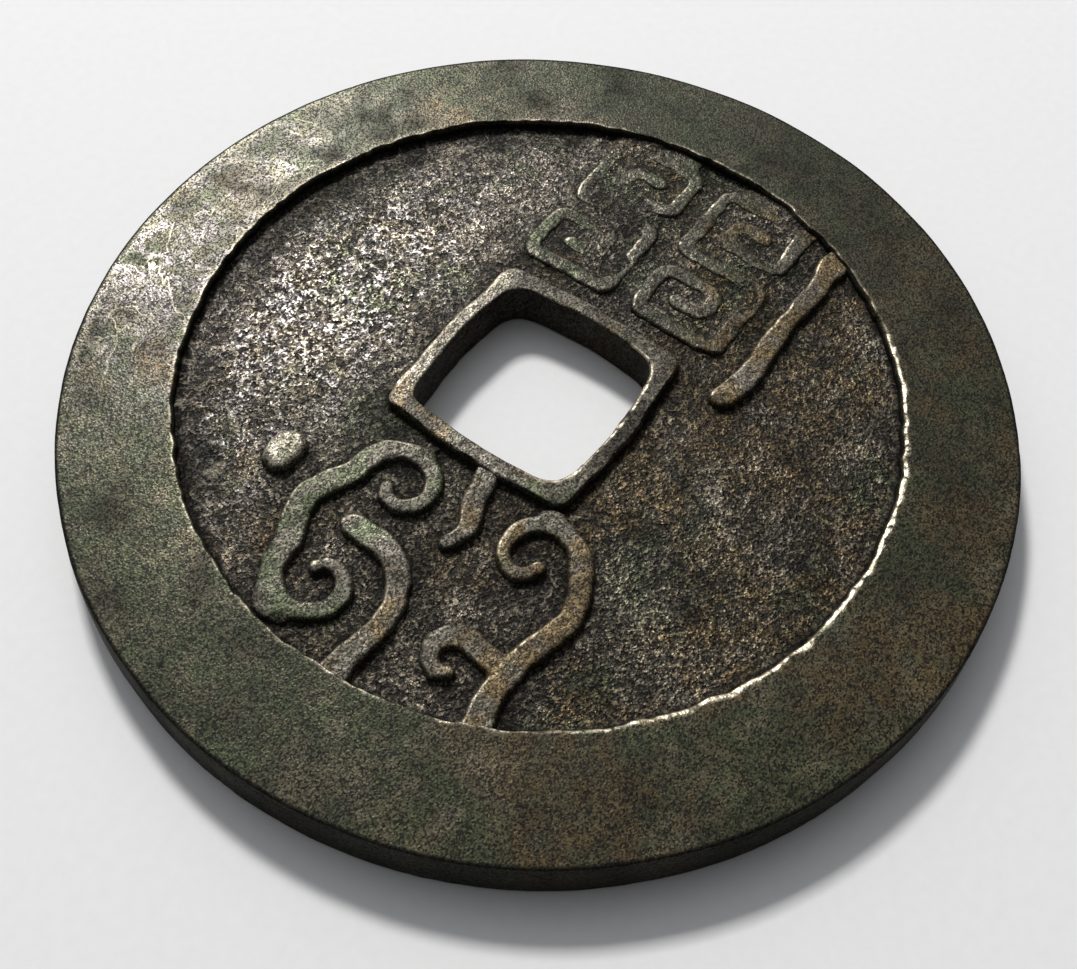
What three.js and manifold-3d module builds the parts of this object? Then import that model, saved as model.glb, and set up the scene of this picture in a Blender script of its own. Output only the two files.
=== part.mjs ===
// A large cast-bronze cash coin: a broad raised rim, a sunken field, a square stringing hole
// with its own narrow rim, and raised ornament to the left and right of the hole.
// The casting is divided into the regions that a collector names. They meet face to face.
// Millimetres. X runs to the coin's right, Y to its top, and Z up from the back's rim, which
// is at z = 0 with the origin under the centre of the outer edge.
import * as THREE from "three";
import { mergeVertices } from "three/addons/utils/BufferGeometryUtils.js";
import Module from "manifold-3d";

const wasm = await Module();
wasm.setup();

// The disc.
const COIN_DIAMETER = 50;
const COIN_THICKNESS = 2.8;
const EDGE_BULGE = 0.12; // how far the filed edge swells past the corners of the flat faces
const RIM_WIDTH = 5.85;
const RIM_SHOULDER = 0.18; // rounding where a flat rim turns down to the field

// The sunken field, which the mould left a little off centre.
const FIELD_SHIFT_X = 0.3;
const FIELD_SHIFT_Y = 0.25;
const FRONT_RELIEF = 0.65; // depth of the field below the front rims
const BACK_RELIEF = 0.6;

// The square hole with bowed sides and round corners, and the narrow rim round it.
const HOLE_ACROSS = 10.1; // between the middles of opposite sides
const HOLE_SQUARENESS = 7.5; // power of the rounded square: 2 is a circle, more is squarer
const HOLE_RIM_WIDTH = 0.9;
const HOLE_RIM_SQUARENESS = 16; // the rim's own outline has nearly sharp corners
const HOLE_SHIFT_X = 0.1;
const HOLE_SHIFT_Y = 0.5;

// The raised ornament, drawn in strokes that swell and thin as a brush's do.
const STROKE_WIDTH = 1.3;
const STROKE_HEAD = 1.55; // where the brush is pressed down
const STROKE_TAIL = 0.9; // where it is lifted
const STROKE_FLARE = 0.1; // extra half width at a stroke's foot, from the slope of its walls
const STROKE_SHOULDER = 0.15; // rounding of a stroke's upper edges
const STROKE_GAP = 0.3; // clearance between a stroke and a rim
const STAR_LENGTH = 2.9;
const STAR_WIDTH = 2.2;
const STAR_SHOULDER = 0.35;
const FRET_WIDTH = 1.1;
const FRET_RELIEF = 0.45; // height of the fret, which stands lower than the cloud
const FRET_ROW_GAP = 2; // between the middles of the two frets' facing lines
const FRET_SHIFT_Y = 0.15; // of the gap between the two frets, from the coin's middle
const FRET_CORNER = 0.65; // radius of the fret's turns, along the middle of the line

// How finely the curves are divided.
const EDGE_STATIONS = 120;
const EDGE_STEPS = 6;
const HOLE_STATIONS = 72;
const CAP_STEPS = 6;
const SHOULDER_STEPS = 2;
const BEND_STEPS = 3;
const SPIRAL_STATIONS = 15; // in a full turn
const PATH_STEP = 0.6;
const MERGE_DISTANCE = 1e-4;

// Levels and half sizes worked out from the values above.
const coinRadius = COIN_DIAMETER / 2;
const fieldRadius = coinRadius - RIM_WIDTH;
const frontField = COIN_THICKNESS - FRONT_RELIEF;
const backField = BACK_RELIEF;
const holeHalf = HOLE_ACROSS / 2;
const holeRimHalf = holeHalf + HOLE_RIM_WIDTH;

// The ornament is drawn on a lattice of squares that stretches with the space between the
// hole's rim and the outer rim.
const LATTICE_COLUMNS = 13;
const FRET_SQUARES = 1.7; // between the middles of neighbouring fret lines
const square = (fieldRadius - holeRimHalf) / LATTICE_COLUMNS;
const leftMiddle = FIELD_SHIFT_X - (fieldRadius + holeRimHalf) / 2;
const rightMiddle = FIELD_SHIFT_X + (fieldRadius + holeRimHalf) / 2;

const radians = THREE.MathUtils.degToRad;
const { lerp, smoothstep } = THREE.MathUtils;

// Outlines seen from above, as lists of [x, y] that run anticlockwise.

function circleOutline(radius, centreX, centreY) {
  return Array.from({ length: EDGE_STATIONS }, (_, i) => {
    const angle = (2 * Math.PI * i) / EDGE_STATIONS;
    return [centreX + radius * Math.cos(angle), centreY + radius * Math.sin(angle)];
  });
}

function squareOutline(half, power) {
  return Array.from({ length: HOLE_STATIONS }, (_, i) => {
    const angle = (2 * Math.PI * i) / HOLE_STATIONS;
    const cos = Math.cos(angle);
    const sin = Math.sin(angle);
    const reach = half / (Math.abs(cos) ** power + Math.abs(sin) ** power) ** (1 / power);
    return [HOLE_SHIFT_X + reach * cos, HOLE_SHIFT_Y + reach * sin];
  });
}

const holeOutline = (half) => squareOutline(half, HOLE_SQUARENESS);
const holeRimOutline = (half) => squareOutline(half, HOLE_RIM_SQUARENESS);
const fieldOutline = (radius) => circleOutline(radius, FIELD_SHIFT_X, FIELD_SHIFT_Y);

// Ring-shaped pieces: a closed loop of outlines, each at its own height, joined by facets.
// The loops run up the inside, across the top, down the outside and back under.
function ringGeometry(loops) {
  const stations = loops[0].outline.length;
  const positions = [];
  const index = [];
  for (const { outline, z } of loops) outline.forEach(([x, y]) => positions.push(x, y, z));
  loops.forEach((_, j) => {
    const next = (j + 1) % loops.length;
    for (let i = 0; i < stations; i++) {
      const k = (i + 1) % stations;
      const a = j * stations + i;
      const b = j * stations + k;
      const c = next * stations + k;
      const d = next * stations + i;
      index.push(a, c, b, a, d, c);
    }
  });
  const geometry = new THREE.BufferGeometry();
  geometry.setAttribute("position", new THREE.Float32BufferAttribute(positions, 3));
  geometry.setIndex(index);
  return geometry;
}

// The quarter turn of a shoulder, as [inset, drop] from its sharp corner.
function shoulder(radius) {
  return Array.from({ length: SHOULDER_STEPS + 1 }, (_, i) => {
    const angle = (Math.PI / 2) * (i / SHOULDER_STEPS);
    return [radius * (1 - Math.cos(angle)), radius * (1 - Math.sin(angle))];
  });
}

function outerRimGeometry() {
  const fieldAt = (away) => fieldOutline(fieldRadius + away);
  const up = shoulder(RIM_SHOULDER);
  const down = [...up].reverse();
  const loops = [
    ...down.map(([away, drop]) => ({ outline: fieldAt(away), z: drop })),
    { outline: fieldAt(0), z: backField },
    { outline: fieldAt(0), z: frontField },
    ...up.map(([away, drop]) => ({ outline: fieldAt(away), z: COIN_THICKNESS - drop })),
  ];
  for (let i = 0; i <= EDGE_STEPS; i++) {
    const across = 1 - (2 * i) / EDGE_STEPS;
    const radius = coinRadius - EDGE_BULGE * across ** 4;
    loops.push({ outline: circleOutline(radius, 0, 0), z: (COIN_THICKNESS * (1 + across)) / 2 });
  }
  return ringGeometry(loops);
}

function holeRimGeometry() {
  const holeAt = (away) => holeOutline(holeHalf + away);
  const rimAt = (inwards) => holeRimOutline(holeRimHalf - inwards);
  const up = shoulder(RIM_SHOULDER);
  const down = [...up].reverse();
  return ringGeometry([
    ...down.map(([away, drop]) => ({ outline: holeAt(away), z: drop })),
    ...up.map(([away, drop]) => ({ outline: holeAt(away), z: COIN_THICKNESS - drop })),
    ...down.map(([away, drop]) => ({ outline: rimAt(away), z: COIN_THICKNESS - drop })),
    { outline: rimAt(0), z: frontField },
    { outline: rimAt(0), z: backField },
    ...up.map(([away, drop]) => ({ outline: rimAt(away), z: drop })),
  ]);
}

// A flat plate between the two rims, each of which may be kept clear by a gap.
function webGeometry(gap, bottom, height) {
  const toVectors = (outline) => outline.map(([x, y]) => new THREE.Vector2(x, y));
  const disc = new THREE.Shape(toVectors(fieldOutline(fieldRadius - gap)));
  disc.holes.push(new THREE.Path(toVectors(holeRimOutline(holeRimHalf + gap)).reverse()));
  const plate = new THREE.ExtrudeGeometry(disc, { depth: height, bevelEnabled: false });
  return plate.translate(0, 0, bottom);
}

const fieldGeometry = () => webGeometry(0, backField, frontField - backField);

// Paths of strokes, as lists of [x, y].

// A spiral from one radius and angle to another, in degrees.
function spiral(centre, fromRadius, toRadius, fromAngle, toAngle) {
  const steps = Math.ceil((Math.abs(toAngle - fromAngle) / 360) * SPIRAL_STATIONS);
  return Array.from({ length: steps + 1 }, (_, i) => {
    const radius = lerp(fromRadius, toRadius, i / steps);
    const angle = radians(lerp(fromAngle, toAngle, i / steps));
    return [centre[0] + radius * Math.cos(angle), centre[1] + radius * Math.sin(angle)];
  });
}

// A smooth curve through a few points.
function smoothPath(points) {
  const curve = new THREE.SplineCurve(points.map(([x, y]) => new THREE.Vector2(x, y)));
  const count = Math.max(2, Math.round(curve.getLength() / PATH_STEP));
  return curve.getSpacedPoints(count).map((p) => [p.x, p.y]);
}

// A run of straight lines with its corners rounded.
function roundedPath(points, radius) {
  const path = [points[0]];
  for (let i = 1; i < points.length - 1; i++) {
    const corner = new THREE.Vector2(...points[i]);
    const back = new THREE.Vector2(...points[i - 1]).sub(corner).normalize();
    const ahead = new THREE.Vector2(...points[i + 1]).sub(corner).normalize();
    const enter = corner.clone().addScaledVector(back, radius);
    const leave = corner.clone().addScaledVector(ahead, radius);
    const bend = new THREE.QuadraticBezierCurve(enter, corner, leave);
    bend.getPoints(BEND_STEPS).forEach((p) => path.push([p.x, p.y]));
  }
  path.push(points[points.length - 1]);
  return path;
}

// A raised stroke along a path: sloping walls, rounded upper edges and round ends. Its widths
// are those at its start, its middle and its end.
function strokeGeometry({ path, widths }, { top, round = STROKE_SHOULDER }) {
  const points = path.map(([x, y]) => new THREE.Vector2(x, y));
  const last = points.length - 1;
  const tangents = points.map((_, i) =>
    points[Math.min(i + 1, last)].clone().sub(points[Math.max(i - 1, 0)]).normalize(),
  );
  const [start, middle, end] = widths;
  const halfWidth = (i) => {
    const toMiddle = smoothstep(i / last, 0, 0.5);
    const toEnd = smoothstep(i / last, 0.5, 1);
    return lerp(lerp(start, middle, toMiddle), end, toEnd) / 2;
  };
  const leftOf = (t) => new THREE.Vector2(-t.y, t.x);
  const rim = [];
  const addCap = (centre, from, along) => {
    for (let i = 0; i <= CAP_STEPS; i++) {
      const angle = (Math.PI * i) / CAP_STEPS;
      const out = from.clone().multiplyScalar(Math.cos(angle));
      out.addScaledVector(along, Math.sin(angle));
      rim.push({ centre, out });
    }
  };
  for (let i = 1; i < last; i++) rim.push({ centre: i, out: leftOf(tangents[i]).negate() });
  addCap(last, leftOf(tangents[last]).negate(), tangents[last]);
  for (let i = last - 1; i > 0; i--) rim.push({ centre: i, out: leftOf(tangents[i]) });
  addCap(0, leftOf(tangents[0]), tangents[0].clone().negate());

  const levels = [
    { outwards: STROKE_FLARE, z: frontField },
    ...shoulder(round).map(([away, drop]) => ({ outwards: -away, z: top - drop })),
  ];
  const positions = [];
  const index = [];
  for (const { outwards, z } of levels) {
    for (const { centre, out } of rim) {
      const at = points[centre].clone().addScaledVector(out, halfWidth(centre) + outwards);
      positions.push(at.x, at.y, z);
    }
  }
  const count = rim.length;
  for (let j = 0; j < levels.length - 1; j++) {
    for (let i = 0; i < count; i++) {
      const k = (i + 1) % count;
      const low = j * count;
      const high = low + count;
      index.push(low + i, low + k, high + k, low + i, high + k, high + i);
    }
  }
  // Each flat end is filled from the middle line of the stroke.
  const fill = (ringStart, z, faceUp) => {
    const line = positions.length / 3;
    points.forEach((p) => positions.push(p.x, p.y, z));
    for (let i = 0; i < count; i++) {
      const k = (i + 1) % count;
      const a = ringStart + i;
      const b = ringStart + k;
      const c = line + rim[k].centre;
      const d = line + rim[i].centre;
      const faces = c === d ? [[a, b, d]] : [[a, b, c], [a, c, d]];
      faces.forEach((face) => index.push(...(faceUp ? face : [...face].reverse())));
    }
  };
  fill(0, frontField, false);
  fill((levels.length - 1) * count, top, true);

  const geometry = new THREE.BufferGeometry();
  geometry.setAttribute("position", new THREE.Float32BufferAttribute(positions, 3));
  geometry.setIndex(index);
  return geometry;
}

// Solid joins and cuts.

function toSolid(geometry) {
  const bare = new THREE.BufferGeometry();
  bare.setAttribute("position", geometry.getAttribute("position"));
  if (geometry.index) bare.setIndex(geometry.index);
  const merged = mergeVertices(bare, MERGE_DISTANCE);
  return new wasm.Manifold(
    new wasm.Mesh({
      numProp: 3,
      vertProperties: merged.getAttribute("position").array,
      triVerts: new Uint32Array(merged.index.array),
    }),
  );
}

function toGeometry(solid) {
  const mesh = solid.getMesh();
  const geometry = new THREE.BufferGeometry();
  geometry.setAttribute("position", new THREE.BufferAttribute(mesh.vertProperties, 3));
  geometry.setIndex(new THREE.BufferAttribute(mesh.triVerts, 1));
  return geometry;
}

// Several strokes joined as one, kept clear of both rims by the stroke gap.
function joinedStrokes(strokes, options = { top: COIN_THICKNESS }) {
  const solids = strokes.map((stroke) => toSolid(strokeGeometry(stroke, options)));
  const joined = solids.reduce((whole, solid) => whole.add(solid));
  const clearSpace = toSolid(webGeometry(STROKE_GAP, frontField, COIN_THICKNESS));
  return toGeometry(joined.intersect(clearSpace));
}

// A point of these drawings is in squares of the lattice, from the middle of the space that is
// left or right of the hole.
const onLeft = ([x, y]) => [leftMiddle + x * square, y * square];
const onRight = ([x, y]) => [rightMiddle + x * square, y * square];
const leftStroke = (points, ...widths) => ({ path: smoothPath(points.map(onLeft)), widths });
const rightStroke = (points, ...widths) => ({ path: smoothPath(points.map(onRight)), widths });

// Left of the hole: a star over a cloud with two scrolls, a wisp and a tail that trail from the
// cloud, and a wave with a crest and a curl.

function starGeometry() {
  const reach = (STAR_LENGTH - STAR_WIDTH) / 2;
  const [x, y] = onLeft([1.3, 8.1]);
  const path = [[x - reach, y], [x + reach, y]];
  const width = STAR_WIDTH - 2 * STROKE_FLARE;
  const star = { path, widths: [width, width, width] };
  return strokeGeometry(star, { top: COIN_THICKNESS, round: STAR_SHOULDER });
}

function cloudHeadGeometry() {
  const scrollX = 3.1;
  const scrollY = 2.2;
  const right = spiral([scrollX, scrollY], 2.5, 0.65, 105, -235);
  const left = right.map(([x, y]) => [-x, y]).reverse();
  const crown = [0, scrollY + 3.4];
  return joinedStrokes([leftStroke([...left, crown, ...right], STROKE_TAIL, STROKE_HEAD, STROKE_TAIL)]);
}

function cloudWispGeometry() {
  const stem = [[0.1, 2.7], [0, 0.6], [-1.2, -1.1], [-3.6, -1.7], [-7.4, -0.9]];
  return joinedStrokes([leftStroke(stem, STROKE_HEAD, STROKE_WIDTH, STROKE_HEAD)]);
}

function cloudTailGeometry() {
  const tail = [[1.9, -1.5], [3.1, -1.9], [4.6, -1.2], [7, -0.7]];
  return joinedStrokes([leftStroke(tail, STROKE_TAIL, STROKE_WIDTH, STROKE_HEAD)]);
}

function waveGeometry() {
  const crest = spiral([3.7, -5.3], 2.4, 0.6, -62, 250);
  const swell = [[-6.2, -8.7], [-3.6, -7.8], [-0.8, -7.9], [2.2, -8.6], ...crest];
  const curl = [[-1.6, -7.9], ...spiral([-2.8, -5.3], 1.6, 0.5, -40, 215)];
  return joinedStrokes([
    leftStroke(swell, STROKE_HEAD, STROKE_WIDTH, STROKE_TAIL),
    leftStroke(curl, STROKE_WIDTH, STROKE_WIDTH, STROKE_TAIL),
  ]);
}

// Right of the hole: two rows of a squared fret over a ground line. One row is a single line
// that winds out of one spiral and into the next, drawn on its own lattice.
const FRET_LINE = [
  [1, 2], [1, 1], [2, 1], [2, 3], [0, 3], [0, 0], [3, 0],
  [3, 3], [6, 3], [6, 0], [4, 0], [4, 2], [5, 2], [5, 1],
];
const FRET_COLUMNS = 6;
const FRET_ROWS = 3;
const fretPitch = FRET_SQUARES * square;
const fretHeight = FRET_ROWS * fretPitch;

function fretGeometry(bottom) {
  const left = rightMiddle - (FRET_COLUMNS * fretPitch) / 2;
  const onFret = ([column, row]) => [left + column * fretPitch, bottom + row * fretPitch];
  const path = roundedPath(FRET_LINE.map(onFret), FRET_CORNER);
  const line = { path, widths: [FRET_WIDTH, FRET_WIDTH, FRET_WIDTH] };
  return joinedStrokes([line], { top: frontField + FRET_RELIEF });
}

function groundLineGeometry() {
  const line = [[-7.4, -7.9], [-5.4, -8.3], [-2, -8.1], [2, -8.4], [7, -7.4]];
  return joinedStrokes([rightStroke(line, STROKE_HEAD, STROKE_WIDTH, STROKE_HEAD)]);
}

// Assembly: every region is a mesh with its own finish.

const finishes = {
  rim: { color: 0x4d4a38, roughness: 0.45, metalness: 0.8 },
  field: { color: 0x302a22, roughness: 0.8, metalness: 0.5 },
  highlight: { color: 0x7d7862, roughness: 0.5, metalness: 0.7 },
  wornMark: { color: 0x565242, roughness: 0.6, metalness: 0.6 },
};

function region(name, geometry, finish) {
  geometry.computeVertexNormals();
  const mesh = new THREE.Mesh(geometry, new THREE.MeshStandardMaterial(finish));
  mesh.name = name;
  return mesh;
}

const upperFretBottom = FRET_SHIFT_Y + FRET_ROW_GAP / 2;
const lowerFretBottom = FRET_SHIFT_Y - FRET_ROW_GAP / 2 - fretHeight;
const coin = new THREE.Group();
coin.name = "cash_coin";
coin.add(
  region("outer_rim", outerRimGeometry(), finishes.rim),
  region("field", fieldGeometry(), finishes.field),
  region("hole_rim", holeRimGeometry(), finishes.highlight),
  region("star", starGeometry(), finishes.highlight),
  region("cloud_head", cloudHeadGeometry(), finishes.highlight),
  region("cloud_wisp", cloudWispGeometry(), finishes.highlight),
  region("cloud_tail", cloudTailGeometry(), finishes.highlight),
  region("wave", waveGeometry(), finishes.highlight),
  region("fret_upper", fretGeometry(upperFretBottom), finishes.wornMark),
  region("fret_lower", fretGeometry(lowerFretBottom), finishes.wornMark),
  region("ground_line", groundLineGeometry(), finishes.highlight),
);

export default coin;
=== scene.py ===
# A large cast-bronze cash coin on white paper, dressed over its solids.
# Lengths are millimetres until a mesh is made; Blender's own are metres.
import math

import bpy
import numpy as np
from mathutils import Matrix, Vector
from mathutils.bvhtree import BVHTree


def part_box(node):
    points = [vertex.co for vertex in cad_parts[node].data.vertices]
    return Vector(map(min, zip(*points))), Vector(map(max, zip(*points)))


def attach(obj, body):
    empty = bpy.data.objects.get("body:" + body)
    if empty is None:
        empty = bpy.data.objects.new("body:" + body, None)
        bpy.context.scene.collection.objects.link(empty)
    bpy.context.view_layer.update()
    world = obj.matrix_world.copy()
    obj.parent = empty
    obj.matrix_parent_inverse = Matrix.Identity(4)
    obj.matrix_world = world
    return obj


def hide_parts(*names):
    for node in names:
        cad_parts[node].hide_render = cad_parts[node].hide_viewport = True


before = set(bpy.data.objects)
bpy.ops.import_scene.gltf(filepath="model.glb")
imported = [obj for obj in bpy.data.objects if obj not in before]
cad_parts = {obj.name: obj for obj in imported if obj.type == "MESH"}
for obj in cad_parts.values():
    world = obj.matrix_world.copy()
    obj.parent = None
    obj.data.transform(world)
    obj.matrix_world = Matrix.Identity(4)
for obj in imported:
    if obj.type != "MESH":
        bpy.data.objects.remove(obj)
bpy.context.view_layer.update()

MM = 0.001
BODY = "root"
CLOUD_NODES = ("star", "cloud_head", "cloud_wisp", "cloud_tail", "wave", "ground_line")
FRET_NODES = ("fret_upper", "fret_lower")

# The camera that fits the photograph. Its own axes are worked out in a frame whose Y points away
# from the camera, which is turned from the coin's by COIN_TURN.
PHOTO_WIDTH = 1077
SENSOR_WIDTH = 36
FOCAL_SHARE = 1.12  # focal length over the sensor's width
CAMERA_ELEVATION = 59.47
CAMERA_DISTANCE = 63.69
CAMERA_ROLL = 3.92
LOOK_AT = (0.03, -4.14, 0.0)
COIN_TURN = 58.02
AXIS_SHIFT_X, AXIS_SHIFT_Y = -2.56, -5.20  # pixels from the picture's middle to the lens axis

# Light: a window behind the coin, a little to the left, a soft glow round it and a dim room.
WINDOW_SIDE = 20  # degrees to the left of straight behind
WINDOW_ELEVATION = 45
WINDOW_DISTANCE = 600
WINDOW_WIDTH, WINDOW_HEIGHT = 90, 75
WINDOW_WATTS = 3.2
WINDOW_COLOUR = (1.0, 0.985, 0.96)
ROOM_LEVEL = 0.08
ROOM_COLOUR = (0.97, 0.985, 1.0)
GLOW_LEVEL = 1.0
GLOW_REACH = math.radians(66)  # how far from the window its glow fades out
GLOW_FALLOFF = 1.5

PAPER_HALF = 900
PAPER_DROP = 0.02  # how far the paper lies below the coin's foot
PAPER_TONES = ((0.80, 0.80, 0.81), (0.86, 0.86, 0.87))

# Shape details that the solids leave to the finish: first those that all pieces share.
SHOULDER = 0.08  # rounding of worn edges
WALL_FLARE = 0.1  # how far a raised wall leans out at its foot
BURIED = 0.3  # how far a piece runs on inside its neighbour

# The broad rim. Directions are degrees, counter-clockwise from the coin's right.
RIM_STATIONS = 1000
EDGE_BULGE = 0.05
EDGE_SLANT = 0.15  # how far the outer edge's foot stands out beyond its top
MOULD_SHIFT, MOULD_SHIFT_TOWARDS = 0.12, 205  # how far off the casting's back half lies
OFF_CENTRE, OFF_CENTRE_TOWARDS = 0.08, -10  # how far off the outer edge's circle lies
OUTER_SHOULDER = 0.12
FOOT_SHOULDER = 0.12  # rounding of the outer edge's foot
CHAMFER_WIDTH, CHAMFER_DROP = 0.24, 0.085  # the worn inner edge along WORN_ARC
WORN_ARC_MIDDLE, WORN_ARC_HALF, WORN_ARC_FADE = 267, 56, 8
RAGGED_COARSE, RAGGED_FINE = 0.08, 0.07  # how far the inner edge wanders
NOTCH_DEPTH = 0.25
DENT_DEPTH, DENT_LIMIT = 0.04, 0.02
TOP_SWELL, TOP_RIPPLE = 0.02, 0.003
PIT_DEPTH = 0.015
FILE_MARK_DEPTH = 0.03

# The hole and the narrow rim round it.
HOLE_STATIONS = 640
HOLE_SQUARENESS = 6.3
HOLE_RIM_SQUARENESS = 16
BOW = 0.045  # how much further out the middles of the square's sides stand than its corners
HOLE_RIM_WIDTH = 0.85
HOLE_WAIST = 0.1  # how much narrower the hole is half-way through
HOLE_WANDER, HOLE_RIM_WANDER = 0.05, 0.09  # of the outlines of the hole and of its rim
HOLE_WALL_ROUGHNESS = 0.045
HOLE_RIM_SWELL = 0.05
LIP_WIDTH, LIP_DROP = 0.2, 0.06  # its worn edges
LIP_DEPTH = 0.15  # how far below the front the worn edges reach

# The raised strokes, worked out over a lattice of square cells that covers the field.
CELL = 0.055
MARGIN = 0.9  # lattice kept round each stroke
STROKE_WANDER, STROKE_JITTER = 0.1, 0.05  # how far their outlines stray
RIM_PULL, HOLE_RIM_PUSH = 0.7, 0.6  # how far cut ends are drawn out into each rim
STROKE_SOFTNESS = 0.13  # rounding of their outlines
BEVEL_SOFTNESS, BEVEL_DROP = 0.25, 0.04  # their worn edges
EDGE_LIGHT_TOWARDS = 68  # edges on this side catch the light
GRIT_HEIGHT = 0.014
# Paleness at the foot of a stroke's walls, darker than its top: painted shade.
STROKE_FOOT_SHADE = 0.15

# The field.
FIELD_STATIONS = 1000
FIELD_FRONT_ROWS, FIELD_BACK_ROWS = 90, 9
FIELD_OVERLAP = 0.45  # how far it runs on under the broad rim
GROUND_SWELL = 0.03
SAND_HEIGHT, COARSE_SAND_HEIGHT = 0.045, 0.05
WALL_FILLET, STROKE_FILLET = 0.12, 0.08  # how far sand is heaped against what stands there
FRET_PAD_HEIGHT = 0.2  # the ground is raised round the worn fret


def box_mm(node):
    low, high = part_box(node)
    return np.array(low) / MM, np.array(high) / MM


rim_low, rim_high = box_mm("outer_rim")
field_low, field_high = box_mm("field")
hole_low, hole_high = box_mm("hole_rim")
TOP = rim_high[2]
COIN_RADIUS = (rim_high[0] - rim_low[0]) / 2
FRONT_FIELD = field_high[2]
BACK_FIELD = field_low[2]
RELIEF = TOP - FRONT_FIELD
FIELD_CENTRE = (field_low + field_high)[:2] / 2
FIELD_RADIUS = (field_high[0] - field_low[0]) / 2
HOLE_CENTRE = (hole_low + hole_high)[:2] / 2
HOLE_RIM_HALF = (hole_high[0] - hole_low[0]) / 2
HOLE_HALF = HOLE_RIM_HALF - HOLE_RIM_WIDTH
LATTICE_HALF = int(math.ceil((FIELD_RADIUS + 0.8) / CELL))
LATTICE_SIDE = 2 * LATTICE_HALF + 1


# Numbers: steps, noise and outlines.

def smoothstep(low, high, value):
    share = np.clip((value - low) / (high - low), 0, 1)
    return share * share * (3 - 2 * share)


def bell(distance, width):
    """1 at distance 0, falling smoothly to nearly 0 at twice the width."""
    return np.exp(-((distance / width) ** 2))


NOISE_CELLS = 512
LAYER_GAIN = 1.4  # brings noise in layers back to about -1 to 1


def noise(x, y, spacing, seed):
    """Smooth noise from -1 to 1 on points in millimetres, with its bumps spacing apart. Each use
    has a seed of its own."""
    random = np.random.default_rng(seed)
    table = random.uniform(-1, 1, (NOISE_CELLS, NOISE_CELLS))
    turn = random.uniform(0, math.tau)
    across = (x * math.cos(turn) - y * math.sin(turn)) / spacing + NOISE_CELLS / 2
    along = (x * math.sin(turn) + y * math.cos(turn)) / spacing + NOISE_CELLS / 2
    column, row = np.floor(across).astype(int), np.floor(along).astype(int)
    u, v = smoothstep(0, 1, across - column), smoothstep(0, 1, along - row)

    def corner(i, j):
        return table[(column + i) % NOISE_CELLS, (row + j) % NOISE_CELLS]

    near = corner(0, 0) * (1 - u) + corner(1, 0) * u
    far = corner(0, 1) * (1 - u) + corner(1, 1) * u
    return near * (1 - v) + far * v


def layered_noise(x, y, spacing, seed, layers=3):
    """Noise with finer and weaker layers on top, each half the size and strength."""
    shares = [0.5**k for k in range(layers)]
    total = sum(share * noise(x, y, spacing * share, seed + k) for k, share in enumerate(shares))
    return total / sum(shares) * LAYER_GAIN


def angles(stations):
    return np.arange(stations) * math.tau / stations


def directions(angle):
    return np.stack([np.cos(angle), np.sin(angle)], -1)


def turned_from(angle, direction):
    """How far an angle lies from a direction, from 0 to half a turn."""
    return np.abs((angle - direction + math.pi) % math.tau - math.pi)


def wrapped_bell(angle, direction, width):
    """A bell round a direction; all three are degrees, the angle an array in radians."""
    return bell(np.degrees(turned_from(angle, math.radians(direction))), width)


def patches(x, y, places):
    """The strongest of several soft round patches, each given as (x, y, radius)."""
    return np.maximum.reduce([bell(np.hypot(x - px, y - py), radius) for px, py, radius in places])


def square_reach(angle, half, power):
    """Distance from the middle of a rounded square with bowed sides to its outline."""
    bowed = half * (1 - BOW * np.sin(2 * angle) ** 2)
    return bowed / (np.abs(np.cos(angle)) ** power + np.abs(np.sin(angle)) ** power) ** (1 / power)


def beyond_hole_rim(x, y):
    """Distance from the outline of the hole's rim, positive outside it."""
    x, y = x - HOLE_CENTRE[0], y - HOLE_CENTRE[1]
    reach = square_reach(np.arctan2(y, x), HOLE_RIM_HALF, HOLE_RIM_SQUARENESS)
    return np.hypot(x, y) - reach


def quarter_turn(radius=SHOULDER, steps=4):
    """A rounded edge as (distance from the wall, drop below the flat), from wall to flat."""
    angle = np.linspace(0, math.pi / 2, steps + 1)
    return list(zip(radius * (1 - np.cos(angle)), radius * (1 - np.sin(angle))))


def front_back_wall(z):
    """How far points at height z belong to the front face, the back face and the walls."""
    front = smoothstep(TOP - 0.12, TOP - 0.02, z)
    back = smoothstep(0.12, 0.02, z)
    return front, back, (1 - front) * (1 - back)


# Meshes. Each point of a mesh carries measures that its material reads: pale, how light its patina is, with
# painted shade, painted highlights and painted sheen worked in; bare, bare metal, partly a painted highlight
# where it lies only on edges facing the light; coarse, sand grain; the dust measure, pale dust and painted
# sheen; verdigris and rust, stains.

def quad_mesh(name, points, faces):
    faces = faces.astype(np.int32)
    mesh = bpy.data.meshes.new(name)
    mesh.vertices.add(len(points))
    mesh.vertices.foreach_set("co", (points * MM).astype(np.float32).ravel())
    mesh.loops.add(faces.size)
    mesh.loops.foreach_set("vertex_index", faces.ravel())
    mesh.polygons.add(len(faces))
    mesh.polygons.foreach_set("loop_start", np.arange(0, faces.size, 4, dtype=np.int32))
    mesh.update(calc_edges=True)
    mesh.validate()
    return mesh


def finish_piece(mesh, measures, node, material):
    """Dresses a node in a mesh. Each measure is an array with a value a point, or one number."""
    for measure, values in measures.items():
        layer = mesh.attributes.new(measure, "FLOAT", "POINT")
        everywhere = np.broadcast_to(np.ravel(values), len(mesh.vertices))
        layer.data.foreach_set("value", np.ascontiguousarray(everywhere, np.float32))
    mesh.polygons.foreach_set("use_smooth", np.ones(len(mesh.polygons), bool))
    mesh.materials.append(material)
    piece = bpy.data.objects.new(mesh.name, mesh)
    bpy.context.scene.collection.objects.link(piece)
    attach(piece, BODY)
    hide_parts(node)


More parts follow.
